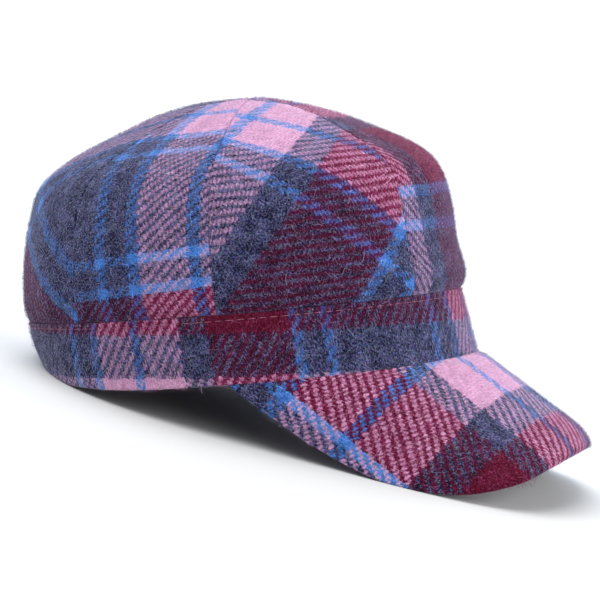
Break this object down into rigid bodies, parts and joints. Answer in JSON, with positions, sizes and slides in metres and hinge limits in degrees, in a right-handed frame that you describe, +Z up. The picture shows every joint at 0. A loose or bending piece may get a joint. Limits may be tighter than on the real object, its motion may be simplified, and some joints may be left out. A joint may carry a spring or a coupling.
{
  "type": "cadet cap",
  "caption": "Soft wool cadet cap with a domed crown of sewn gores, an upright band and a short curved peak, resting on its band and peak.",
  "frame": {"origin": "under the middle of the cap's box, on the surface that it rests on", "axes": "+Z up, -Y the way the peak points, +X the wearer's left"},
  "size_m": [0.1768, 0.2788, 0.1452],
  "materials": {
    "crown_tweed": "brushed wool twill plaid",
    "band_tweed": "brushed wool twill plaid",
    "peak_tweed": "brushed wool twill plaid"
  },
  "bodies": {
    "root": {"crown_gore_front": "crown_tweed", "crown_gore_left_front": "crown_tweed", "crown_gore_left_rear": "crown_tweed", "crown_gore_rear": "crown_tweed", "crown_gore_right_rear": "crown_tweed", "crown_gore_right_front": "crown_tweed", "band": "band_tweed", "peak": "peak_tweed"}
  },
  "joints": []
}
